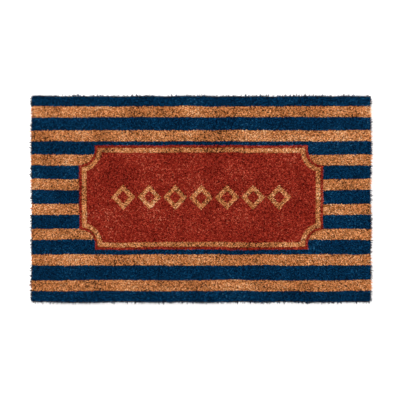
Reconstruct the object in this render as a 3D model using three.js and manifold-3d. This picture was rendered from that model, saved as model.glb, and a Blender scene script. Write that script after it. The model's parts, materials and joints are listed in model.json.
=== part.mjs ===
// A doormat with a striped coir pile, in millimetres, +Z up.
//
// A flat vinyl backing sheet carries the pile: short coir bristles that stand on end, each one held
// by its root in the vinyl. The pile is dyed in zones, and each zone is one solid that stands on the
// backing. Navy and natural stripes run along X. A panel lies over the middle of them, with a red
// border, a natural line inside it and a red field, and its corners are scooped out. A row of hollow
// natural lozenges with red cores runs along the middle of the field.
// The origin is at the middle of the underside. +X runs along the mat, and +Y towards its back edge.

import * as THREE from "three";
import { mergeVertices } from "three/addons/utils/BufferGeometryUtils.js";
import Module from "manifold-3d";

// The whole mat
const MAT_LENGTH = 711; // along X
const MAT_WIDTH = 432; // along Y
const CORNER_RADIUS = 4; // of the four cut corners
const BACKING_THICKNESS = 2.5;
const PILE_HEIGHT = 12.5; // from the backing's top to the sheared tips
const ZONE_GAP = 0.3; // clearance between neighbouring zones of the pile

// Stripes, from the back edge to the front edge
const NATURAL_STRIPES = 8;
const NATURAL_WIDTH = 23;
const BACK_BAND = 22; // the navy stripe along the back edge
const FRONT_BAND = 24; // the navy stripe along the front edge
const GAP_GROWTH = 0.6; // each navy stripe between is wider than the one behind it by this much

// Panel: it starts and ends inside two navy stripes, which show as thin bands behind and before it
const PANEL_LENGTH = 510; // along X
const PANEL_FIRST_STRIPE = 5; // counted over all stripes from the back
const PANEL_LAST_STRIPE = 13;
const PANEL_BACK_MARGIN = 8; // navy left showing behind the panel
const PANEL_FRONT_MARGIN = 10; // navy left showing before the panel
const SCOOP_RADIUS = 33; // of the hollow quarter circle at each corner
const SCOOP_STEP = 8.5; // straight step along Y between the long edge and the quarter circle
const BORDER_WIDTH = 5.5; // the red border
const LINE_WIDTH = 9.8; // the natural line inside it

// Lozenges
const LOZENGES = 7;
const LOZENGE_LENGTH = 50; // tip to tip along X
const LOZENGE_WIDTH = 53; // tip to tip along Y
const LOZENGE_STROKE = 9; // thickness of the natural ring
const LOZENGE_SPACING = 4.3; // red field between the tips of two neighbours

// Fineness of the curves
const CORNER_STEPS = 6;
const SCOOP_STEPS = 12;

const BACKING_COLOUR = "#26231f";
const DYE_COLOURS = { navy: "#0a2a44", natural: "#b47146", red: "#84281b" };

const HALF_GAP = ZONE_GAP / 2;
const mat = new THREE.Group();

const wasm = await Module();
wasm.setup();

/** A pile or sheet material: matt, and no metal. */
function mattMaterial(color) {
  return new THREE.MeshStandardMaterial({ color, roughness: 0.95, metalness: 0 });
}

/** Adds one named piece to the mat, with the foot of its geometry at height z. */
function addPiece(name, geometry, color, z) {
  geometry.computeVertexNormals();
  const piece = new THREE.Mesh(geometry, mattMaterial(color));
  piece.name = name;
  piece.position.z = z;
  mat.add(piece);
}

/** Adds one zone of the pile, which stands on the backing. */
function addZone(name, geometry, dye) {
  addPiece(name, geometry, DYE_COLOURS[dye], BACKING_THICKNESS);
}

/** An upright prism on an outline of points, with an outline for each hole through it. */
function prism(outline, holes, height) {
  const shape = new THREE.Shape(outline);
  shape.holes = holes.map((hole) => new THREE.Path(hole));
  return new THREE.ExtrudeGeometry(shape, { depth: height, bevelEnabled: false });
}

/** The points of an arc about (x, y), from one angle to another, both in radians. */
function arcPoints(x, y, radius, from, to, steps) {
  return Array.from({ length: steps + 1 }, (_, i) => {
    const angle = from + ((to - from) * i) / steps;
    return new THREE.Vector2(x + radius * Math.cos(angle), y + radius * Math.sin(angle));
  });
}

/** A closed outline made of one corner's points, which run anticlockwise, and its three mirror images. */
function fourCorners(corner) {
  const sides = [[1, 1], [-1, 1], [-1, -1], [1, -1]];
  return sides.flatMap(([sx, sy]) => {
    const points = corner.map((p) => new THREE.Vector2(sx * p.x, sy * p.y));
    return sx * sy > 0 ? points : points.reverse();
  });
}

/** The mat's outline: a rectangle with slightly rounded corners. */
function matOutline() {
  const x = MAT_LENGTH / 2 - CORNER_RADIUS;
  const y = MAT_WIDTH / 2 - CORNER_RADIUS;
  return fourCorners(arcPoints(x, y, CORNER_RADIUS, 0, Math.PI / 2, CORNER_STEPS));
}

/** The stripes from back to front: the number and dye of each, and the Y of its back and front edges. */
function stripeBands() {
  const gaps = NATURAL_STRIPES - 1;
  const meanGap = (MAT_WIDTH - BACK_BAND - FRONT_BAND - NATURAL_STRIPES * NATURAL_WIDTH) / gaps;
  const widths = [BACK_BAND];
  for (let i = 0; i < NATURAL_STRIPES; i++) {
    const isLast = i === gaps;
    const navy = isLast ? FRONT_BAND : meanGap + (i - (gaps - 1) / 2) * GAP_GROWTH;
    widths.push(NATURAL_WIDTH, navy);
  }
  let back = MAT_WIDTH / 2;
  return widths.map((width, i) => {
    const dye = i % 2 ? "natural" : "navy";
    const band = { number: Math.floor(i / 2) + 1, dye, back, front: back - width };
    back = band.front;
    return band;
  });
}

const bands = stripeBands();
const panelBack = bands[PANEL_FIRST_STRIPE - 1].back - PANEL_BACK_MARGIN;
const panelFront = bands[PANEL_LAST_STRIPE - 1].front + PANEL_FRONT_MARGIN;
const panelY = (panelBack + panelFront) / 2;

/** The panel's outline, moved inwards by inset all the way round. */
function panelOutline(inset) {
  const halfLength = PANEL_LENGTH / 2;
  const halfWidth = (panelBack - panelFront) / 2;
  const radius = SCOOP_RADIUS + inset;
  const pastStep = Math.max(0, inset - SCOOP_STEP); // an inset deeper than the step leaves none of it
  const arcStart = Math.PI + Math.acos(inset / radius);
  const arcEnd = Math.PI + Math.asin(pastStep / radius);
  const corner = arcPoints(halfLength, halfWidth - SCOOP_STEP, radius, arcStart, arcEnd, SCOOP_STEPS);
  if (pastStep === 0) {
    corner.push(new THREE.Vector2(halfLength - radius, halfWidth - inset));
  }
  return fourCorners(corner).map((p) => new THREE.Vector2(p.x, p.y + panelY));
}

/** The X of each lozenge's centre, from left to right. */
function lozengeCentres() {
  const pitch = LOZENGE_LENGTH + LOZENGE_SPACING;
  return Array.from({ length: LOZENGES }, (_, i) => (i - (LOZENGES - 1) / 2) * pitch);
}

/** The outline of the lozenge centred at x, moved inwards by inset all the way round. */
function lozengeOutline(x, inset) {
  const a = LOZENGE_LENGTH / 2;
  const b = LOZENGE_WIDTH / 2;
  const scale = 1 - (inset * Math.hypot(a, b)) / (a * b);
  const tips = [[a, 0], [0, b], [-a, 0], [0, -b]];
  return tips.map(([dx, dy]) => new THREE.Vector2(x + dx * scale, panelY + dy * scale));
}

/** A closed geometry as a solid that can be cut. */
function toSolid(geometry) {
  geometry.deleteAttribute("normal");
  geometry.deleteAttribute("uv");
  const merged = mergeVertices(geometry);
  return new wasm.Manifold(
    new wasm.Mesh({
      numProp: 3,
      vertProperties: new Float32Array(merged.getAttribute("position").array),
      triVerts: new Uint32Array(merged.getIndex().array),
    }),
  );
}

/** A solid as a geometry again. */
function toGeometry(solid) {
  const mesh = solid.getMesh();
  const geometry = new THREE.BufferGeometry();
  geometry.setAttribute("position", new THREE.BufferAttribute(mesh.vertProperties, 3));
  geometry.setIndex(new THREE.BufferAttribute(mesh.triVerts, 1));
  return geometry.toNonIndexed();
}

/** The stripes: each is cut by the mat's outline and by the panel, which leaves it whole or in halves. */
function addStripes() {
  const pile = toSolid(prism(matOutline(), [], PILE_HEIGHT));
  const ground = pile.subtract(toSolid(prism(panelOutline(-HALF_GAP), [], PILE_HEIGHT)));
  bands.forEach((band, i) => {
    const back = i === 0 ? band.back : band.back - HALF_GAP;
    const front = i === bands.length - 1 ? band.front : band.front + HALF_GAP;
    const strip = new THREE.BoxGeometry(MAT_LENGTH, back - front, PILE_HEIGHT);
    strip.translate(0, (back + front) / 2, PILE_HEIGHT / 2);
    const halves = ground.intersect(toSolid(strip)).decompose();
    for (const half of halves) {
      const box = half.boundingBox();
      const side = box.min[0] + box.max[0] < 0 ? "left" : "right";
      const suffix = halves.length > 1 ? `_${side}` : "";
      addZone(`${band.dye}_stripe_${band.number}${suffix}`, toGeometry(half), band.dye);
    }
  });
}

/** The panel: its border and line are closed rings, and its field has a hole for each lozenge. */
function addPanel() {
  const lineStart = BORDER_WIDTH;
  const fieldStart = BORDER_WIDTH + LINE_WIDTH;
  const ring = (outer, inner) =>
    prism(panelOutline(outer + HALF_GAP), [panelOutline(inner - HALF_GAP)], PILE_HEIGHT);
  addZone("panel_border", ring(0, lineStart), "red");
  addZone("panel_line", ring(lineStart, fieldStart), "natural");
  const holes = lozengeCentres().map((x) => lozengeOutline(x, -HALF_GAP));
  addZone("panel_field", prism(panelOutline(fieldStart + HALF_GAP), holes, PILE_HEIGHT), "red");
}

/** The lozenges: a natural ring and the red core inside it. */
function addLozenges() {
  lozengeCentres().forEach((x, i) => {
    const hole = lozengeOutline(x, LOZENGE_STROKE - HALF_GAP);
    addZone(`lozenge_ring_${i + 1}`, prism(lozengeOutline(x, HALF_GAP), [hole], PILE_HEIGHT), "natural");
    const core = lozengeOutline(x, LOZENGE_STROKE + HALF_GAP);
    addZone(`lozenge_core_${i + 1}`, prism(core, [], PILE_HEIGHT), "red");
  });
}

addPiece("backing_sheet", prism(matOutline(), [], BACKING_THICKNESS), BACKING_COLOUR, 0);
addStripes();
addPanel();
addLozenges();

export default mat;
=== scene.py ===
"""A doormat of dyed coir: each bristle, the close-packed foot of the pile, and the vinyl backing."""

import json
import logging
import math
from collections.abc import Callable, Sequence
from dataclasses import dataclass, field
from enum import Enum, IntEnum
from functools import partial
from typing import Any

import bmesh
import bpy
from bmesh.types import BMesh, BMVert
from bpy.types import ColorRamp, Material, Mesh, Node, NodeOutputs, NodeSocket, NodeTree, Object
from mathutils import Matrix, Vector, noise


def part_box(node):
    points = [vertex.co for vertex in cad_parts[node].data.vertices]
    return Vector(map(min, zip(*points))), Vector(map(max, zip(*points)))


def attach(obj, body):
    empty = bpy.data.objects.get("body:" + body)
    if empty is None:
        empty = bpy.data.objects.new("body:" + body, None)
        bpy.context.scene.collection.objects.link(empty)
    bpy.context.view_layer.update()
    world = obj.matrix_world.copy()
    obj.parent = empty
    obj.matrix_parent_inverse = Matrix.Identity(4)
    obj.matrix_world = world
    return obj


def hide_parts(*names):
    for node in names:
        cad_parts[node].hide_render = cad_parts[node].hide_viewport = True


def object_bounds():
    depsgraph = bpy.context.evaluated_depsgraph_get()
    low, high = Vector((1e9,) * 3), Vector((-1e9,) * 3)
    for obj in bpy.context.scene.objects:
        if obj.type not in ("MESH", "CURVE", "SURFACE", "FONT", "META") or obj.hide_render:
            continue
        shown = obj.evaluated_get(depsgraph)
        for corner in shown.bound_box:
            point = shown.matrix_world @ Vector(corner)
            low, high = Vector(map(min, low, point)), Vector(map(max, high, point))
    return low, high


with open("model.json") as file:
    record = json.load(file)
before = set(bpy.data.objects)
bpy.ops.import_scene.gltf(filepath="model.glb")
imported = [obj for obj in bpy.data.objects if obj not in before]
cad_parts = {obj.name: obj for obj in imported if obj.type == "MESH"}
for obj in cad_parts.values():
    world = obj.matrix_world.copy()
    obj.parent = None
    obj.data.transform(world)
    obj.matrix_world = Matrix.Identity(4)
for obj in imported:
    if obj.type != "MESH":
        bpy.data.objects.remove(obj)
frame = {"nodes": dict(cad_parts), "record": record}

CAD_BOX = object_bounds()
MM = 0.001
LOG = logging.getLogger("doormat")

BACKING_NODE = "backing_sheet"
SWATCH_MAP = "OFBake"  # the bristles' own map: across it the shade, up it the height in the pile


class Dye(Enum):
    """The dyes of the pile, each named by the material slot that its zones take."""

    NAVY = "navy_coir"
    NATURAL = "natural_coir"
    RED = "red_coir"


MATH = "ShaderNodeMath"
VECTOR_MATH = "ShaderNodeVectorMath"
STORE = "GeometryNodeStoreNamedAttribute"
EVEN = 0.5  # the middle of a noise or a random draw, which both run from 0 to 1
MERGE = 0.001 * MM  # points nearer than this are one
UPWARD = 0.9  # the least rise of a level face's normal
FLAT = (1.0, 1.0, 0.0)  # a vector times this has no rise


def linear(hex_colour: str) -> tuple[float, float, float, float]:
    """Turns an sRGB hex colour into linear red, green, blue and alpha.

    Args:
        hex_colour: Six hex digits with a leading #.

    Returns:
        The linear colour, opaque.
    """
    parts = [int(hex_colour[i : i + 2], 16) / 255 for i in (1, 3, 5)]
    curve = [c / 12.92 if c <= 0.04045 else ((c + 0.055) / 1.055) ** 2.4 for c in parts]
    return (curve[0], curve[1], curve[2], 1.0)


def feed(node: Node, *values: Any, **named_values: Any) -> None:
    """Feeds the inputs of a node.

    Args:
        node: The node.
        *values: What the first inputs get, in order. Each is a constant, a socket, or a node for its
            first output. None leaves an input as it is.
        **named_values: What other inputs get, by the input's name with _ for a space.
    """
    targets = list(zip(node.inputs, values))
    targets += [(node.inputs[name.replace("_", " ")], value) for name, value in named_values.items()]
    for socket, value in targets:
        if isinstance(value, Node):
            value = value.outputs[0]
        if isinstance(value, NodeSocket):
            node.id_data.links.new(value, socket)
        elif value is not None:
            socket.default_value = value


def add_node(
    tree: NodeTree, kind: str, settings: str | dict[str, Any] | None = None, *feeds: Any, **named: Any
) -> Node:
    """Adds a node, sets it up and feeds its inputs.

    Args:
        tree: The shader or geometry tree.
        kind: The node's type name.
        settings: Properties of the node itself by name, or only the operation of a math node, where
            MULTIPLY_ADD gives the first input times the second, plus the third.
        *feeds: What its first inputs get.
        **named: What other inputs get, by name.

    Returns:
        The new node.
    """
    node = tree.nodes.new(kind)
    if isinstance(settings, str):
        settings = {"operation": settings}
    for name, value in (settings or {}).items():
        setattr(node, name, value)
    feed(node, *feeds, **named)
    return node


def paint_ramp(ramp: ColorRamp, stops: tuple[tuple[float, str], ...], light: float = 1.0) -> None:
    """Sets a colour ramp's stops.

    Args:
        ramp: The ramp of a Color Ramp node.
        stops: Places from 0 to 1, each with its hex colour.
        light: Share of each colour's light that is kept.
    """
    while len(ramp.elements) > 1:
        ramp.elements.remove(ramp.elements[-1])
    for i, (place, colour) in enumerate(stops):
        stop = ramp.elements[0] if i == 0 else ramp.elements.new(place)
        stop.position = place
        red, green, blue, alpha = linear(colour)
        stop.color = (red * light, green * light, blue * light, alpha)


def new_material(name: str, roughness: float, specular: float) -> tuple[Material, Node]:
    """Starts a material.

    Args:
        name: The material's name.
        roughness: Roughness of its surface.
        specular: Its specular level.

    Returns:
        The material and its shader.
    """
    material = bpy.data.materials.new(name)
    material.use_nodes = True
    shader = material.node_tree.nodes["Principled BSDF"]
    feed(shader, Roughness=roughness, Specular_IOR_Level=specular)
    return material, shader


def new_tree(name: str, inputs: dict[str, str], output: str) -> tuple[NodeTree, NodeOutputs]:
    """Starts a geometry tree.

    Args:
        name: The tree's name.
        inputs: The kind of each of its inputs, by the input's name.
        output: Name of the geometry that it gives.

    Returns:
        The tree, and the sockets that its inputs are read from.
    """
    tree = bpy.data.node_groups.new(name, "GeometryNodeTree")
    tree.is_modifier = True
    for title, kind in inputs.items():
        tree.interface.new_socket(title, in_out="INPUT", socket_type=f"NodeSocket{kind}")
    tree.interface.new_socket(output, in_out="OUTPUT", socket_type="NodeSocketGeometry")
    return tree, tree.nodes.new("NodeGroupInput").outputs


def slice_mesh(mesh: BMesh, place: Sequence[float], way: Sequence[float], clear: bool) -> None:
    """Cuts a mesh along a plane.

    Args:
        mesh: The mesh.
        place: A point of the plane.
        way: The way the plane faces.
        clear: Whether what lies past the plane is taken away.
    """
    whole = [*mesh.verts, *mesh.edges, *mesh.faces]
    bmesh.ops.bisect_plane(mesh, geom=whole, plane_co=place, plane_no=way, clear_outer=clear)


def new_object(name: str, mesh: Mesh) -> Object:
    """Puts a mesh in the scene as an object at the origin, without leftovers of its making.

    Args:
        name: The object's name.
        mesh: Its mesh, in the frame's own metres.

    Returns:
        The object.
    """
    for leftover in ("id", "custom_normal"):
        if leftover in mesh.attributes:
            mesh.attributes.remove(mesh.attributes[leftover])
    mesh.name = name
    obj = bpy.data.objects.new(name, mesh)
    bpy.context.scene.collection.objects.link(obj)
    return obj


# -------- finishes


@dataclass(frozen=True)
class CoirFinish:
    """Dyed or undyed coir, the husk fibre of the coconut, sheared flat.

    The fibre is a stiff, matt, woody hair. No two tufts are one shade, so the pile looks grainy. A
    printed dye soaks down from the tips and leaves the roots their own tan, which shows at the
    mat's sides.

    Attributes:
        name: The material's name.
        shades: The ramp from the darkest fibre to the lightest.
        dyed: Whether the roots keep the undyed tan.
        patchiness: How far apart the shades of the mat's patches are, less under a dye.
        soak: The height in the pile, as a share, where the dye gives out.
        soak_blur: The share of the height over which it gives out.
        thirst: The share by which it soaks further down in the lightest fibre than in the darkest.
        roughness: Roughness of the fibre.
        specular: Specular level, low because a dyed fibre scatters most of its light inside.
    """

    name: str
    shades: tuple[tuple[float, str], ...]
    dyed: bool
    patchiness: float
    soak: float = 0.42
    soak_blur: float = 0.2
    thirst: float = 0.3
    roughness: float = 0.85
    specular: float = 0.05

    def build(self) -> Material:
        """Builds the material from the swatch map: the shade across it and the height up it.

        Returns:
            The material.
        """
        material, shader = new_material(self.name, self.roughness, self.specular)
        add = partial(add_node, material.node_tree)
        swatch = add("ShaderNodeUVMap", {"uv_map": SWATCH_MAP})
        place = add("ShaderNodeSeparateXYZ", None, swatch)
        shade, height = place.outputs["X"], place.outputs["Y"]
        colour = add("ShaderNodeValToRGB", None, shade)
        paint_ramp(colour.color_ramp, self.shades)
        if self.dyed:
            root = add("ShaderNodeValToRGB", None, shade)
            paint_ramp(root.color_ramp, ROOT_SHADES)
            # each fibre drinks the dye to a depth of its own
            depth = add(MATH, "MULTIPLY_ADD", shade, self.thirst, height)
            soft, ends = {"interpolation_type": "SMOOTHSTEP"}, (self.soak, self.soak + self.soak_blur)
            soaked = add("ShaderNodeMapRange", soft, depth, *ends)
            # its two colours are the seventh and eighth inputs, and the third output is their mix
            others = [None] * 5
            mix = add("ShaderNodeMix", {"data_type": "RGBA"}, soaked, *others, root, colour)
            feed(shader, Base_Color=mix.outputs[2])
        else:
            feed(shader, Base_Color=colour)
        return material


ROOT_SHADES = ((0.0, "#6b4524"), (0.5, "#a97d4c"), (1.0, "#cfa672"))

COIR = {
    Dye.NAVY: CoirFinish(
        "navy printed coir",
        (
            (0.0, "#000c1c"),
            (0.25, "#00233e"),
            (0.5, "#002f50"),
            (0.75, "#053c62"),
            (0.92, "#10507a"),
            (1.0, "#4a7f9f"),
        ),
        dyed=True,
        patchiness=0.25,
    ),
    Dye.NATURAL: CoirFinish(
        "undyed coir",
        (
            (0.0, "#2c1408"),
            (0.12, "#5c3216"),
            (0.28, "#ad642f"),
            (0.5, "#da8d50"),
            (0.74, "#eba064"),
            (0.9, "#fcc58c"),
            (1.0, "#ffdfb4"),
        ),
        dyed=False,
        patchiness=0.6,
        specular=0.15,
    ),
    Dye.RED: CoirFinish(
        "red printed coir",
        (
            (0.0, "#300603"),
            (0.22, "#801f12"),
            (0.5, "#a02e1f"),
            (0.78, "#b53b2a"),
            (0.92, "#cc5c42"),
            (1.0, "#e08a6a"),
        ),
        dyed=True,
        patchiness=0.42,
    ),
}


@dataclass(frozen=True)
class PileFootFinish:
    """The foot of the pile, where the same fibres stand too close to be told apart.

    It is what shows between the tips: each tuft goes on down in its own shade, dimmed by a painted
    shade, because deep in the pile it gets and gives back far less light.

    Attributes:
        name: The material's name.
        shades: The dye's ramp, as on the fibres above.
        tuft: Width of a tuft, the same as the fibres' own.
        light: Share of the colour's light that is left, a painted shade for the depth of the pile.
        tuft_share: How much of the ramp the tufts' shades span.
        speck: Width of a speck, a little more than a fibre's, in metres.
        speck_share: How much of the ramp the specks span.
        painted_shade_dimming: How far down the ramp both are moved, a painted shade. It leaves out
            the lightest
        shades, because even a pale tuft is in shadow between its fibres.
        roughness: Roughness of the fibres' sides.
        specular: Specular level, near nothing so deep in the pile.
    """

    name: str
    shades: tuple[tuple[float, str], ...]
    tuft: float
    # painted shade for the depth of the pile
    light: float = 0.3
    tuft_share: float = 0.7
    speck: float = 0.5 * MM
    speck_share: float = 0.4
    painted_shade_dimming: float = 0.15
    roughness: float = 0.95
    specular: float = 0.02

    def build(self) -> Material:
        """Builds the material from the tufts' own cells, mixed with specks and dimmed by painted
        shade.

        Returns:
            The material.
        """
        material, shader = new_material(self.name, self.roughness, self.specular)
        add = partial(add_node, material.node_tree)
        place = add("ShaderNodeTexCoord").outputs["Object"]
        flat = {"voronoi_dimensions": "2D"}
        cells = add("ShaderNodeTexVoronoi", flat, Vector=place, Scale=1 / self.tuft)
        draw = add("ShaderNodeSeparateXYZ", None, cells.outputs["Color"])
        speck = add("ShaderNodeTexNoise", Vector=place, Scale=1 / self.speck)
        # painted shade: the shades are moved down the ramp for the depth of the pile
        shade = add(MATH, "MULTIPLY_ADD", speck, self.speck_share, -self.painted_shade_dimming)
        both = add(MATH, "MULTIPLY_ADD", draw, self.tuft_share, shade)
        colour = add("ShaderNodeValToRGB", None, both)
        # painted shade: the colours' light is cut for the depth of the pile
        paint_ramp(colour.color_ramp, self.shades, self.light)
        feed(shader, Base_Color=colour)
        return material


@dataclass(frozen=True)
class VinylFinish:
    """Vinyl poured as a liquid and cured on a belt, which leaves it matt, dense and almost black.

    The belt's own grain shows on it as a fine leathery pebble.

    Attributes:
        name: The material's name.
        dark: The colour in the pits.
        light: The colour on the worn tops.
        pebble: Width of one pebble of the grain, in metres.
        pebble_share: How much of the colour's change the pebbles make. The mottle makes the rest.
        mottle: Width of one patch of the mottle, in metres.
        pit: Depth of the pits between pebbles, in metres.
        relief: Strength of that relief.
        roughness: Roughness of the matt face.
        specular: Specular level, a little under that of clean plastic.
    """

    name: str = "cured vinyl backing"
    dark: str = "#1b1916"
    light: str = "#2c2925"
    pebble: float = 1.6 * MM
    pebble_share: float = 0.35
    mottle: float = 14 * MM
    pit: float = 0.25 * MM
    relief: float = 0.6
    roughness: float = 0.72
    specular: float = 0.3

    def build(self) -> Material:
        """Builds the material from a pebble grain with a faint mottle over it.

        Returns:
            The material.
        """
        material, shader = new_material(self.name, self.roughness, self.specular)
        add = partial(add_node, material.node_tree)
        place = add("ShaderNodeTexCoord").outputs["Object"]
        grain = add("ShaderNodeTexVoronoi", Vector=place, Scale=1 / self.pebble)
        mottle = add("ShaderNodeTexNoise", Vector=place, Scale=1 / self.mottle, Detail=3.0)
        pits = grain.outputs["Distance"]
        both = add(MATH, "MULTIPLY_ADD", pits, self.pebble_share, mottle)
        shade = add("ShaderNodeValToRGB", None, both)
        paint_ramp(shade.color_ramp, ((0.45, self.dark), (0.9, self.light)))
        bump = add("ShaderNodeBump", Height=pits, Distance=self.pit, Strength=self.relief)
        feed(shader, Base_Color=shade, Normal=bump)
        return material


# -------- the wander of the cut and the dye


def wander(tree: NodeTree, place: Node, given: NodeOutputs) -> Node:
    """Adds the nodes that move a place with a slow level wave.

    It depends on the place alone, so that what touches before it still touches after it.

    Args:
        tree: The geometry tree.
        place: The place.
        given: The tree's inputs. Its waviness is how far the place is moved on average, and its wave
            length the length over which the wave turns.

    Returns:
        The node with the new place.
    """
    add = partial(add_node, tree)
    turns, flat = add(MATH, "DIVIDE", 1.0, given["wave_length"]), {"noise_dimensions": "2D"}
    wave = add("ShaderNodeTexNoise", flat, Vector=place, Scale=turns, Detail=2.0)
    way = add(VECTOR_MATH, "SUBTRACT", wave.outputs["Color"], (EVEN,) * 3)
    # the noise seldom leaves its middle by more than a quarter
    reach = add(MATH, "MULTIPLY", given["waviness"], 4.0)
    offset = add(VECTOR_MATH, "SCALE", way, Scale=reach)
    level = add(VECTOR_MATH, "MULTIPLY", offset, FLAT)
    return add(VECTOR_MATH, "ADD", place, level)


def apply_tree(carrier: Object, tree: NodeTree, values: dict[str, Any]) -> Mesh:
    """Runs a geometry tree on an object.

    Args:
        carrier: The object that the tree works on.
        tree: The geometry tree.
        values: Its inputs by name.

    Returns:
        The result as a plain mesh.
    """
    modifier = carrier.modifiers.new(tree.name, "NODES")
    modifier.node_group = tree
    for item in tree.interface.items_tree:
        if item.in_out == "INPUT" and item.name in values:
            modifier[item.identifier] = values[item.name]
    depsgraph = bpy.context.evaluated_depsgraph_get()
    mesh = bpy.data.meshes.new_from_object(
        carrier.evaluated_get(depsgraph), preserve_all_data_layers=True, depsgraph=depsgraph
    )
    carrier.modifiers.remove(modifier)
    return mesh


@dataclass
class WanderTree:
    """The geometry tree that gives a straight-edged piece the wander of the cut and the dye.

    Attributes:
        waviness: How far the edges wander from straight.
        wave_length: Length over which they wander.
        tree: The tree itself.
    """

    waviness: float = 1.1 * MM
    wave_length: float = 85 * MM
    tree: NodeTree = field(init=False)

    def __post_init__(self) -> None:
        """Builds the tree."""
        sizes = {"waviness": "Float", "wave_length": "Float"}
        inputs = {"piece": "Geometry", **sizes, "finish": "Material"}
        self.tree, given = new_tree("wander", inputs, "bent piece")
        add = partial(add_node, self.tree)
        place = add("GeometryNodeInputPosition")
        moved = wander(self.tree, place, given)
        piece = add("GeometryNodeSetPosition", None, given["piece"], Position=moved)
        real = add("GeometryNodeRealizeInstances", None, piece)
        dressed = add("GeometryNodeSetMaterial", None, real, Material=given["finish"])
        add("NodeGroupOutput", None, dressed)

    def bend(self, name: str, straight: BMesh, grid: float, finish: Material) -> Object:
        """Makes a piece of a straight-edged mesh.

        Args:
            name: The piece's name.
            straight: The mesh, which is freed.
            grid: Size of the squares it is divided into, so that it can bend.
            finish: The piece's material.

        Returns:
            The piece.
        """
        for axis in (0, 1):
            places = [vert.co[axis] for vert in straight.verts]
            count = math.ceil((max(places) - min(places)) / grid)
            for i in range(1, count):
                place, way = Vector(), Vector()
                place[axis] = min(places) + (max(places) - min(places)) * i / count
                way[axis] = 1
                slice_mesh(straight, place, way, clear=False)
        mesh = bpy.data.meshes.new(name)
        straight.to_mesh(mesh)
        straight.free()
        carrier = new_object(f"{name}_straight", mesh)
        values = {"waviness": self.waviness, "wave_length": self.wave_length, "finish": finish}
        bent = apply_tree(carrier, self.tree, values)
        bpy.data.objects.remove(carrier)
        return new_object(name, bent)


# -------- the bristles


class Draw(IntEnum):
    """The random numbers of one bristle, each from a stream of its own."""

    WILDNESS = 1
    SHADE = 2
    LEAN_X = 3
    LEAN_Y = 4
    TIP = 5
    GIRTH = 6
    TURN = 7


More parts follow.
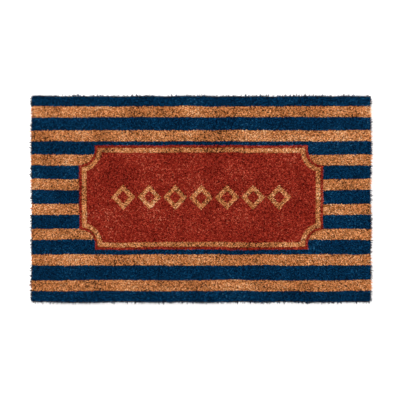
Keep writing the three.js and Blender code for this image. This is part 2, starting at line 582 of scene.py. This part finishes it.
@dataclass
class BristleTree:
    """The geometry tree that sets bristles over a flat zone of the pile.

    Bristles are drawn about three times as thick as a real fibre, because fibres of 0.3 mm would be
    too fine to show and too many to hold.

    Attributes:
        spacing: Least distance between two roots.
        radius: From a bristle's middle to its three edges.
        drift: How far a tip leans by itself, at most, both along and across the mat. A few pass it.
        tuft: Width of a tuft of fibres that lean together and share a shade.
        tuft_drift: How far a whole tuft leans, at most, both along and across the mat.
        gather: How far its fibres lean in to its middle, as a share of the way.
        tuft_shade: How much of a fibre's shade is its tuft's.
        contrast: How far the shades are driven apart. 1 leaves them as drawn.
        patch: Width of the patches, several stripes wide, that came from lighter or darker fibre.
        hole_depth: How far below the rest a low tuft ends.
        shear_spread: How unevenly the tips are sheared.
        foot_depth: How far below the tips an inner bristle starts, inside the pile's foot.
        rim_depth: Width of the strip along the mat's edge where bristles show from root to tip.
        rim_splay: How far the outermost tips lean out over the edge on average.
        rim_clump: Width of the clumps in which they do so.
        rim_dye: How much darker a printed fibre is at the edge, a painted shade for the dark edge of
            the printed pile.
        wave: The wander of the zones' edges.
        tree: The tree itself.
        given: The sockets of its inputs.
        add: Adds a node to it.
    """

    spacing: float = 0.86 * MM
    radius: float = 0.55 * MM
    drift: float = 0.75 * MM
    tuft: float = 1.8 * MM
    tuft_drift: float = 0.9 * MM
    gather: float = 0.45
    tuft_shade: float = 0.9
    contrast: float = 1.0
    patch: float = 75 * MM
    hole_depth: float = 2.6 * MM
    shear_spread: float = 0.55 * MM
    foot_depth: float = 4.6 * MM
    rim_depth: float = 3.0 * MM
    rim_splay: float = 1.7 * MM
    rim_clump: float = 4.5 * MM
    rim_dye: float = 0.5
    wave: WanderTree = field(default_factory=WanderTree)
    tree: NodeTree = field(init=False)
    given: NodeOutputs = field(init=False)
    add: Callable[..., Node] = field(init=False)

    # the fields that are inputs of the tree, and its inputs that are set zone by zone
    SIZES = (
        "spacing radius drift tuft tuft_drift gather tuft_shade contrast patch hole_depth"
        " shear_spread foot_depth rim_depth rim_splay rim_clump"
    ).split()
    PLACES = (
        "waviness wave_length patchiness rim_dye tip_height root_height half_length half_width"
    ).split()
    # the kinds of what each root carries to its bristle, and of what a bristle's mesh is made with
    KEPT = {
        "lean": "FLOAT_VECTOR",
        "shade": "FLOAT",
        "size": "FLOAT_VECTOR",
        "rim": "FLOAT",
        "rise": "FLOAT",
        "round": "FLOAT_VECTOR",
    }

    STREAM_STEP = 1000.0  # between the seeds of two draws, and more than there are zones
    TRIES = 3.0  # roots tried for each square as wide as the spacing
    RARITY = 9.0  # the higher, the fewer bristles lean much further than the rest
    WILDEST = 2.2  # how much further the furthest leans, as a multiple
    COMBING = 0.75  # share of its own lean that a bristle at the edge has lost
    CLUMPING = 7.0  # how sharply the rim's clumps are told apart
    CLUMP_START = -3.1  # brings their splay back to about 1 on average
    HOLES = (0.06, 0.12)  # share of tufts fully low, and low at all
    SHEAR = (-1.0, 0.3)  # most tips are cut short rather than long
    GIRTHS = (0.75, 1.2)  # of a bristle, as a multiple of its radius
    RIM_LENGTHS = 3  # lengths that a bristle on the rim bends between
    BOW = 1.6  # 1 would be a straight lean; more bends it towards the tip
    # a swatch stays inside the map, and has a little of the bristle's own round in it
    SWATCH_MARGIN = 0.01
    SWATCH_SPREAD = 0.04
    SWATCH_SHARE = 0.94

    def __post_init__(self) -> None:
        sizes = dict.fromkeys(self.SIZES + self.PLACES, "Float")
        inputs = {"zone": "Geometry", **sizes, "seed": "Int", "coir": "Material"}
        self.tree, self.given = new_tree("coir bristles", inputs, "bristles")
        self.add = partial(add_node, self.tree)
        self._wire()

    def _draw(self, stream: Draw, low: float, high: float) -> NodeSocket:
        """Draws a number for each bristle.

        Args:
            stream: Which of its draws this is.
            low: The least it can be.
            high: The most it can be.

        Returns:
            The socket with the number.
        """
        offset = stream * self.STREAM_STEP
        seed = self.add(MATH, "ADD", self.given["seed"], offset)
        kind = {"data_type": "FLOAT"}
        # a number's limits are its third and fourth inputs, and the second output is the number
        draw = self.add("FunctionNodeRandomValue", kind, None, None, low, high, Seed=seed)
        return draw.outputs[1]

    def _wire(self) -> None:
        """Wires the tree: roots, their lean and shade, the bristles on them, and the swatch map."""
        add, given = self.add, self.given
        place = add("GeometryNodeInputPosition")
        moved = wander(self.tree, place, given)
        tufts, flat = add(MATH, "DIVIDE", 1.0, given["tuft"]), {"voronoi_dimensions": "2D"}
        cells = add("ShaderNodeTexVoronoi", flat, Vector=moved, Scale=tufts)
        draws = add("ShaderNodeSeparateXYZ", None, cells.outputs["Color"])
        edge, nearness = self._rim(place)
        on_rim = add(MATH, "GREATER_THAN", nearness, 0.0)
        lean = self._lean(place, moved, cells, draws, (edge, nearness))
        start, size = self._sizes(draws, on_rim)
        shade = self._shade(place, draws, nearness)
        points = self._roots()
        carried = {"lean": lean, "shade": shade, "size": size, "rim": on_rim}
        for name, value in carried.items():
            kind = {"data_type": self.KEPT[name], "domain": "POINT"}
            points = add(STORE, kind, points, Name=name, Value=value)
        level = add("ShaderNodeSeparateXYZ", None, moved).outputs
        stand = add("ShaderNodeCombineXYZ", None, level["X"], level["Y"], start)
        points = add("GeometryNodeSetPosition", None, points, Position=stand)
        bristles = self._map(self._bend(self._stand_bristles(points)))
        for name in self.KEPT:
            bristles = add("GeometryNodeRemoveAttribute", None, bristles, Name=name)
        dressed = add("GeometryNodeSetMaterial", None, bristles, Material=given["coir"])
        add("NodeGroupOutput", None, dressed)

    def _roots(self) -> Node:
        """Scatters the roots.

        Returns:
            The node with the roots as points, a least distance apart.
        """
        add, given = self.add, self.given
        per_area = add(MATH, "POWER", given["spacing"], -2.0)
        return add(
            "GeometryNodeDistributePointsOnFaces",
            {"distribute_method": "POISSON"},
            given["zone"],
            Distance_Min=given["spacing"],
            Density_Max=add(MATH, "MULTIPLY", per_area, self.TRIES),
            Seed=given["seed"],
        )

    def _slow_noise(self, place: Node, width: str) -> Node:
        """Adds a level noise that is about 0.5 on average.

        Args:
            place: The place it is read at.
            width: Name of the input with the width of its patches.

        Returns:
            The noise.
        """
        turns, flat = self.add(MATH, "DIVIDE", 1.0, self.given[width]), {"noise_dimensions": "2D"}
        return self.add("ShaderNodeTexNoise", flat, Vector=place, Scale=turns, Detail=1.0)

    def _shade(self, place: Node, draws: Node, nearness: Node) -> Node:
        """Works out each fibre's shade, from 0 for the darkest to 1.

        It is mostly its tuft's. Whole patches of the mat are lighter or darker too, and the
        outermost printed fibres are darkened by a painted shade.

        Args:
            place: Where the root stands by the plan.
            draws: Each tuft's three random numbers.
            nearness: 1 at the mat's edge and 0 past the rim.

        Returns:
            The shade.
        """
        add, given = self.add, self.given
        own, kind = self._draw(Draw.SHADE, 0.0, 1.0), {"data_type": "FLOAT"}
        mixed = add("ShaderNodeMix", kind, given["tuft_shade"], None, own, draws.outputs["X"])
        off_middle = add(MATH, "SUBTRACT", mixed, EVEN)
        slow = add(MATH, "SUBTRACT", self._slow_noise(place, "patch"), EVEN)
        patch = add(MATH, "MULTIPLY_ADD", slow, given["patchiness"], EVEN)
        # painted shade: the printed fibres are made darker towards the mat's edge
        rim = add(MATH, "MULTIPLY", nearness, given["rim_dye"])
        base = add(MATH, "SUBTRACT", patch, rim)
        kept_in = {"operation": "MULTIPLY_ADD", "use_clamp": True}
        return add(MATH, kept_in, off_middle, given["contrast"], base)

    def _rim(self, place: Node) -> tuple[Node, Node]:
        """Tells how near a root stands to the mat's edge.

        Args:
            place: Where the root stands by the plan.

        Returns:
            A vector that points outwards, 1 long at the edge and 0 past the rim, and its longer side
            as a number.
        """
        add, given = self.add, self.given
        half = add("ShaderNodeCombineXYZ", None, given["half_length"], given["half_width"], 1.0)
        span = add(VECTOR_MATH, "ABSOLUTE", place)
        inward = add(VECTOR_MATH, "SUBTRACT", half, span)
        share = add(VECTOR_MATH, "DIVIDE", inward, given["rim_depth"])
        near = add(VECTOR_MATH, "SUBTRACT", (1.0, 1.0, 1.0), share)
        edge = add(VECTOR_MATH, "MAXIMUM", near, (0.0, 0.0, 0.0))
        apart = add("ShaderNodeSeparateXYZ", None, edge)
        nearest = add(MATH, "MAXIMUM", apart.outputs["X"], apart.outputs["Y"])
        side = add(VECTOR_MATH, "SIGN", place)
        return add(VECTOR_MATH, "MULTIPLY", edge, side), nearest

    def _lean(
        self, place: Node, moved: Node, cells: Node, draws: Node, rim: tuple[Node, Node]
    ) -> Node:
        """Works out how far each tip leans from its root.

        The fibres of one tuft lean together, in to its middle and off to one side. Each fibre has a
        lean of its own too, a few much more than most, but less at the rim, where the cut has combed
        them. There they splay outwards, some clumps past the others.

        Args:
            place: Where the root stands by the plan.
            moved: Where it stands after the wave.
            cells: The tufts, as cells.
            draws: Each tuft's three random numbers.
            rim: The outward vector of the rim, and its longer side.

        Returns:
            The node with the lean, which is level.
        """
        add, given = self.add, self.given
        edge, nearness = rim
        inwards = add(VECTOR_MATH, "SUBTRACT", cells.outputs["Position"], moved)
        gathered = add(VECTOR_MATH, "SCALE", inwards, Scale=given["gather"])
        # it reaches EVEN to each side, which is brought up to the whole drift
        off = add(VECTOR_MATH, "SUBTRACT", cells.outputs["Color"], (EVEN,) * 3)
        off_reach = add(MATH, "DIVIDE", given["tuft_drift"], EVEN)
        tuft_lean = add(VECTOR_MATH, "SCALE", off, Scale=off_reach)
        ways = [self._draw(stream, -1.0, 1.0) for stream in (Draw.LEAN_X, Draw.LEAN_Y)]
        own_way = add("ShaderNodeCombineXYZ", None, *ways)
        chance = self._draw(Draw.WILDNESS, 0.0, 1.0)
        rare = add(MATH, "POWER", chance, self.RARITY)
        wild = add(MATH, "MULTIPLY_ADD", rare, self.WILDEST, 1.0)
        combed = add(MATH, "MULTIPLY_ADD", nearness, -self.COMBING, 1.0)
        free = add(MATH, "MULTIPLY", wild, combed)
        own_reach = add(MATH, "MULTIPLY", free, given["drift"])
        own_lean = add(VECTOR_MATH, "SCALE", own_way, Scale=own_reach)
        clumps = self._slow_noise(place, "rim_clump")
        clumped = add(MATH, "MULTIPLY_ADD", clumps, self.CLUMPING, self.CLUMP_START)
        uneven = add(MATH, "ADD", draws.outputs["Z"], clumped)
        splay_reach = add(MATH, "MULTIPLY", uneven, given["rim_splay"])
        splay = add(VECTOR_MATH, "SCALE", edge, Scale=splay_reach)
        total = gathered
        for part in (tuft_lean, own_lean, splay):
            total = add(VECTOR_MATH, "ADD", total, part)
        return add(VECTOR_MATH, "MULTIPLY", total, FLAT)

    def _sizes(self, draws: Node, on_rim: Node) -> tuple[Node, Node]:
        """Works out where each bristle starts and how big it is.

        Inner bristles start in the foot of the pile, and those on the rim at the backing. One tuft
        in ten stands low and leaves a dark hole.

        Args:
            draws: Each tuft's three random numbers.
            on_rim: 1 on the rim.

        Returns:
            The height of its root, and its radius twice and its length as a vector.
        """
        add, given = self.add, self.given
        foot = add(MATH, "SUBTRACT", given["tip_height"], given["foot_depth"])
        kind = {"data_type": "FLOAT"}
        start = add("ShaderNodeMix", kind, on_rim, None, foot, given["root_height"])
        depths = (given["hole_depth"], 0.0)
        hole = add("ShaderNodeMapRange", None, draws.outputs["Y"], *self.HOLES, *depths)
        level = add(MATH, "SUBTRACT", given["tip_height"], hole)
        sheared = self._draw(Draw.TIP, *self.SHEAR)
        tip = add(MATH, "MULTIPLY_ADD", sheared, given["shear_spread"], level)
        length = add(MATH, "SUBTRACT", tip, start)
        radius = add(MATH, "MULTIPLY", self._draw(Draw.GIRTH, *self.GIRTHS), given["radius"])
        return start, add("ShaderNodeCombineXYZ", None, radius, radius, length)

    def _kept(self, name: str) -> NodeSocket:
        """Reads back what a root carries, or what a bristle's mesh was made with."""
        kind = {"data_type": self.KEPT[name]}
        return self.add("GeometryNodeInputNamedAttribute", kind, name).outputs["Attribute"]

    def _stand_bristles(self, points: Node) -> Node:
        """Stands a bristle on each root, turned at random.

        One on the rim shows from root to tip, so it is made of several lengths and can bow.

        Args:
            points: The roots.

        Returns:
            The node with all the bristles as one mesh.
        """
        add = self.add
        turn = add("ShaderNodeCombineXYZ", None, 0.0, 0.0, self._draw(Draw.TURN, 0.0, math.tau))
        rim = self._kept("rim")
        inner = add(MATH, "SUBTRACT", 1.0, rim)
        both = add("GeometryNodeJoinGeometry")
        for lengths, chosen in ((1, inner), (self.RIM_LENGTHS, rim)):
            bristle, size = self._bristle(lengths), self._kept("size")
            place = {"Rotation": turn, "Scale": size}
            feed(both, add("GeometryNodeInstanceOnPoints", None, points, chosen, bristle, **place))
        return add("GeometryNodeRealizeInstances", None, both)

    def _bristle(self, lengths: int) -> Node:
        """Makes one upright bristle, 1 long and 1 in radius: three-sided, blunt and smooth.

        Args:
            lengths: Number of lengths it can bend between.

        Returns:
            The node with its mesh.
        """
        add = self.add
        blunt, sides = {"fill_type": "NGON"}, {"Vertices": 3, "Side_Segments": lengths}
        rod = add("GeometryNodeMeshCylinder", blunt, **sides, Radius=1.0, Depth=1.0)
        corner = {"data_type": "FLOAT_VECTOR", "domain": "CORNER"}
        rounded = add(STORE, corner, rod, Name="round", Value=rod.outputs["UV Map"])
        chosen = {"Selection": rod.outputs["Side"], "Shade_Smooth": True}
        smooth = add("GeometryNodeSetShadeSmooth", {"domain": "FACE"}, rounded, **chosen)
        stood = add("GeometryNodeTransform", None, smooth, Translation=(0.0, 0.0, 0.5))
        height = add("ShaderNodeSeparateXYZ", None, add("GeometryNodeInputPosition"))
        point = {"data_type": "FLOAT", "domain": "POINT"}
        return add(STORE, point, stood, Name="rise", Value=height.outputs["Z"])

    def _bend(self, bristles: Node) -> Node:
        """Bends each bristle over by its lean, more towards the tip.

        Args:
            bristles: The upright bristles.

        Returns:
            The node with the bent ones.
        """
        bow = self.add(MATH, "POWER", self._kept("rise"), self.BOW)
        offset = self.add(VECTOR_MATH, "SCALE", self._kept("lean"), Scale=bow)
        return self.add("GeometryNodeSetPosition", None, bristles, Offset=offset)

    def _map(self, bristles: Node) -> Node:
        """Lays the swatch map: the shade across, the height up, and a little of its own round.

        Args:
            bristles: The bent bristles.

        Returns:
            The node with the mapped ones.
        """
        add, given = self.add, self.given
        apart = add("ShaderNodeSeparateXYZ", None, add("GeometryNodeInputPosition"))
        ends = (given["root_height"], given["tip_height"])
        rise = add("ShaderNodeMapRange", None, apart.outputs["Z"], *ends)
        swatch = add("ShaderNodeCombineXYZ", None, self._kept("shade"), rise)
        share, margin = (self.SWATCH_SHARE,) * 3, (self.SWATCH_MARGIN,) * 3
        inset = add(VECTOR_MATH, "MULTIPLY_ADD", swatch, share, margin)
        width = (self.SWATCH_SPREAD,) * 3
        spread = add(VECTOR_MATH, "MULTIPLY_ADD", self._kept("round"), width, inset)
        corner = {"data_type": "FLOAT2", "domain": "CORNER"}
        return add(STORE, corner, bristles, Name=SWATCH_MAP, Value=spread)

    def grow(self, zone: Object, coir: Material, seed: int, places: dict[str, float]) -> Mesh:
        """Grows the bristles of one zone.

        Args:
            zone: An object whose mesh is the zone's flat outline.
            coir: The bristles' material.
            seed: Seed of the zone's random draws.
            places: The frame's own sizes by input name: heights, and the mat's half sizes.

        Returns:
            A plain mesh of closed bristles.
        """
        values: dict[str, Any] = {name: getattr(self, name) for name in self.SIZES}
        values |= {"waviness": self.wave.waviness, "wave_length": self.wave.wave_length}
        values |= {"seed": seed, "coir": coir, **places}
        return apply_tree(zone, self.tree, values)


# -------- the pile


@dataclass
class Pile:
    """The coir pile: the bristles of each zone, and one close-packed foot for each dye.

    Attributes:
        bristles: The tree that sets the bristles.
        foot_inset: How far the foot stands back from the mat's edge, behind the rim's bristles.
        foot_clearance: How far its top stands above the ends of the inner bristles.
        foot_grid: Size of the squares that its faces are divided into.
        most_area: Area past which a zone is made in several pieces, in square metres.
        bleed: How far dye creeps into undyed coir, whose own bristles stand that much further back.
        pieces: The finished pieces.
    """

    bristles: BristleTree = field(default_factory=BristleTree)
    foot_inset: float = 2.4 * MM
    foot_clearance: float = 0.6 * MM
    foot_grid: float = 7 * MM
    most_area: float = 0.031
    bleed: float = 0.4 * MM
    pieces: list[Object] = field(default_factory=list)

    def zones(self) -> list[tuple[str, Dye]]:
        """Lists the zones of the pile.

        Returns:
            Its CAD nodes with their dyes, in the record's order.
        """
        slots = {dye.value: dye for dye in Dye}
        parts = [(part["node"], part["material_slot"]) for part in frame["record"]["subparts"]]
        return [(node, slots[slot]) for node, slot in parts if slot in slots]

    def build(self) -> None:
        """Builds the bristles zone by zone, then the foot of the pile under each dye."""
        coir = {dye: COIR[dye].build() for dye in Dye}
        seed = 0
        for node, dye in self.zones():
            parts = self._parts(node, 0.0 if COIR[dye].dyed else self.bleed)
            for i, plan in enumerate(parts):
                seed += 1
                suffix = f"_{i + 1}" if len(parts) > 1 else ""
                self._grow(f"{node}_bristles{suffix}", node, dye, plan, coir[dye], seed)
        for dye in Dye:
            self._build_foot(dye)

    def _plan(self, node: str) -> BMesh:
        """Takes the flat top of a CAD node.

        Args:
            node: The CAD node.

        Returns:
            The top, as a mesh of its own.
        """
        plan = bmesh.new()
        plan.from_mesh(frame["nodes"][node].data)
        bmesh.ops.remove_doubles(plan, verts=plan.verts, dist=MERGE)
        plan.normal_update()
        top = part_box(node)[1].z
        rest = [f for f in plan.faces if f.normal.z < UPWARD or f.calc_center_median().z < top - MM]
        bmesh.ops.delete(plan, geom=rest, context="FACES")
        return plan

    def _parts(self, node: str, inset: float) -> list[Object]:
        """Cuts a node's plan across its length into as many parts as its area needs.

        Args:
            node: The CAD node.
            inset: How far the plan is drawn in all round.

        Returns:
            An object for each part, whose mesh is its plan.
        """
        whole = self._plan(node)
        if inset:
            drawn_in = {"use_boundary": True, "use_even_offset": True, "thickness": inset}
            ring = bmesh.ops.inset_region(whole, faces=whole.faces[:], **drawn_in)["faces"]
            bmesh.ops.delete(whole, geom=ring, context="FACES")
        area = sum(f.calc_area() for f in whole.faces)
        count = math.ceil(area / self.most_area)
        low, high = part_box(node)
        cuts = [low.x + (high.x - low.x) * i / count for i in range(count + 1)]
        parts = []
        for i in range(count):
            part = whole.copy()
            for x, way in ((cuts[i], -1), (cuts[i + 1], 1)):
                slice_mesh(part, (x, 0, 0), (way, 0, 0), clear=True)
            mesh = bpy.data.meshes.new(f"{node} plan")
            part.to_mesh(mesh)
            part.free()
            parts.append(new_object(f"{node}_plan_{i}", mesh))
        whole.free()
        return parts

    def _grow(
        self, name: str, node: str, dye: Dye, plan: Object, coir: Material, seed: int
    ) -> None:
        """Grows one piece of the pile on its plan.

        Args:
            name: The piece's name.
            node: The CAD node it stands for.
            dye: The zone's dye.
            plan: The object that holds the plan, removed afterwards.
            coir: The bristles' material.
            seed: Seed of its random draws.
        """
        low, high = CAD_BOX
        sizes = {
            "patchiness": COIR[dye].patchiness,
            # only printed zones get the painted shade at the mat's edge
            "rim_dye": self.bristles.rim_dye if COIR[dye].dyed else 0.0,
            "tip_height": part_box(node)[1].z,
            "root_height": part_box(BACKING_NODE)[1].z,
            "half_length": (high.x - low.x) / 2,
            "half_width": (high.y - low.y) / 2,
        }
        mesh = self.bristles.grow(plan, coir, seed, sizes)
        bpy.data.objects.remove(plan)
        piece = new_object(name, mesh)
        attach(piece, "root")
        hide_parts(node)
        self.pieces.append(piece)
        LOG.info("%s: %d faces", name, len(mesh.polygons))

    def _build_foot(self, dye: Dye) -> None:
        """Builds the foot of the pile under all the zones of one dye.

        Args:
            dye: The dye.
        """
        low, high = CAD_BOX
        foot = bmesh.new()
        for node, node_dye in self.zones():
            if node_dye is not dye:
                continue
            plan = self._plan(node)
            walls = (
                ((high.x - self.foot_inset, 0, 0), (1, 0, 0)),
                ((low.x + self.foot_inset, 0, 0), (-1, 0, 0)),
                ((0, high.y - self.foot_inset, 0), (0, 1, 0)),
                ((0, low.y + self.foot_inset, 0), (0, -1, 0)),
            )
            for place, way in walls:
                slice_mesh(plan, place, way, clear=True)
            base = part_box(BACKING_NODE)[1].z
            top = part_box(node)[1].z - self.bristles.foot_depth + self.foot_clearance
            for vert in plan.verts:
                vert.co.z = base
            raised = bmesh.ops.extrude_face_region(plan, geom=plan.faces[:])
            verts = [v for v in raised["geom"] if isinstance(v, BMVert)]
            bmesh.ops.translate(plan, verts=verts, vec=(0, 0, top - base))
            mesh = bpy.data.meshes.new("foot part")
            plan.to_mesh(mesh)
            plan.free()
            foot.from_mesh(mesh)
            bpy.data.meshes.remove(mesh)
        bmesh.ops.recalc_face_normals(foot, faces=foot.faces[:])
        coir = COIR[dye]
        # the foot's finish is dimmed by painted shade for the depth of the pile
        finish = PileFootFinish(f"{coir.name}, foot", coir.shades, self.bristles.tuft).build()
        name = f"{dye.name.lower()}_pile_foot"
        piece = self.bristles.wave.bend(name, foot, self.foot_grid, finish)
        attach(piece, "root")
        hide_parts(*[node for node, node_dye in self.zones() if node_dye is dye])
        self.pieces.append(piece)
        LOG.info("%s: %d faces", name, len(piece.data.polygons))


# -------- the backing


@dataclass
class Backing:
    """The vinyl sheet: it is cut with the mat, so its edge is a little uneven and softly rounded.

    Attributes:
        wave: The wander of the cut.
        grid: Size of the squares that its faces are divided into.
        edge_waver: How far the blade wavers on top of that.
        waver_length: Length over which it wavers.
        bevel: Rounding of the edge.
        sharp: Angle past which an edge is one of the cut's, in radians.
    """

    wave: WanderTree
    grid: float = 7 * MM
    edge_waver: float = 0.35 * MM
    waver_length: float = 11 * MM
    bevel: float = 0.5 * MM
    sharp: float = math.radians(60)

    def build(self, pile: list[Object]) -> None:
        """Args:
            pile: The pieces of the pile. Not used.
        """
        sheet = bmesh.new()
        sheet.from_mesh(frame["nodes"][BACKING_NODE].data)
        bmesh.ops.remove_doubles(sheet, verts=sheet.verts, dist=MERGE)
        sheet.normal_update()
        cut = [edge for edge in sheet.edges if edge.calc_face_angle(0) > self.sharp]
        level = [edge for edge in cut if abs(edge.verts[0].co.z - edge.verts[1].co.z) < self.bevel]
        rounding = {"segments": 2, "profile": 0.5, "affect": "EDGES"}
        bmesh.ops.bevel(sheet, geom=level, offset=self.bevel, **rounding)
        for face in sheet.faces:
            face.smooth = True
        piece = self.wave.bend("vinyl_backing", sheet, self.grid, VinylFinish().build())
        for vert in piece.data.vertices:
            # the blade wavers a little on top of the slow wander
            spot = Vector((vert.co.x, vert.co.y, 0)) / self.waver_length
            waver = noise.noise_vector(spot) * self.edge_waver
            vert.co.x += waver.x
            vert.co.y += waver.y
        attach(piece, "root")
        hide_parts(BACKING_NODE)
        LOG.info("vinyl_backing: %d faces", len(piece.data.polygons))


# -------- the studio


@dataclass(frozen=True)
class Lamp:
    """A square soft lamp that faces the middle of the mat.

    Attributes:
        name: Its name.
        place: Where it hangs.
        size: Length of a side.
        power: Its power in watts.
    """

    name: str
    place: tuple[float, float, float]
    size: float
    power: float

    def hang(self) -> None:
        """Puts the lamp in the scene."""
        light = bpy.data.lights.new(self.name, "AREA")
        light.size = self.size
        light.energy = self.power
        lamp = bpy.data.objects.new(self.name, light)
        lamp.location = self.place
        lamp.rotation_euler = (-Vector(self.place)).to_track_quat("-Z", "Y").to_euler()
        bpy.context.scene.collection.objects.link(lamp)


@dataclass
class Studio:
    """A pale floor, soft light from all round with a soft key, and a camera straight above the mat.

    Attributes:
        frame_width: Width of what the camera sees at the height of the tips.
        lens: Focal length in millimetres, long so that the mat's sides don't show.
        aim: Where the camera's axis meets the mat, from the mat's middle.
        sky: Strength of the light from all round.
        lamps: The key and the fill.
        paper: The floor's colour.
        half_floor: Half the side of the floor.
        floor_drop: How far the floor lies under the mat, so that the two don't flicker.
    """

    frame_width: float = 0.8352
    lens: float = 110.0
    aim: tuple[float, float] = (-2.4 * MM, -1.7 * MM)
    sky: float = 1.3
    lamps: tuple[Lamp, ...] = (
        Lamp("key", (-1.6, 1.3, 2.2), 1.2, 70.0),
        Lamp("fill", (1.9, -1.2, 2.0), 1.6, 25.0),
    )
    paper: str = "#f4f4f4"
    half_floor: float = 8.0
    floor_drop: float = 0.1 * MM

    def build(self) -> None:
        """Builds the camera, the lights and the floor."""
        self._camera()
        self._lights()
        self._floor()

    def _camera(self) -> None:
        """Hangs the camera above the mat."""
        data = bpy.data.cameras.new("camera")
        data.lens = self.lens
        camera = bpy.data.objects.new("camera", data)
        distance = self.frame_width * self.lens / data.sensor_width
        camera.location = (*self.aim, CAD_BOX[1].z + distance)
        bpy.context.scene.collection.objects.link(camera)
        bpy.context.scene.camera = camera
        data.clip_end = 100

    def _lights(self) -> None:
        """Lights the mat from all round, and a little more from one side."""
        scene = bpy.context.scene
        scene.view_settings.view_transform = "Standard"
        scene.world = bpy.data.worlds.new("studio")
        scene.world.use_nodes = True
        sky = scene.world.node_tree.nodes["Background"]
        feed(sky, Color=linear("#ffffff"), Strength=self.sky)
        for lamp in self.lamps:
            lamp.hang()

    def _floor(self) -> None:
        """Lays the floor just under the mat."""
        half = self.half_floor
        square = ((-half, -half), (half, -half), (half, half), (-half, half))
        mesh = bpy.data.meshes.new("floor")
        mesh.from_pydata([(x, y, -self.floor_drop) for x, y in square], [], [(0, 1, 2, 3)])
        paper, shader = new_material("white floor", roughness=0.9, specular=0.0)
        feed(shader, Base_Color=linear(self.paper))
        mesh.materials.append(paper)
        new_object("floor", mesh)


def main() -> None:
    """Builds the studio, the pile and the backing, in that order."""
    logging.basicConfig(level=logging.INFO, format="%(name)s: %(message)s")
    Studio().build()
    pile = Pile()
    pile.build()
    Backing(pile.bristles.wave).build(pile.pieces)


if __name__ == "__main__":
    main()
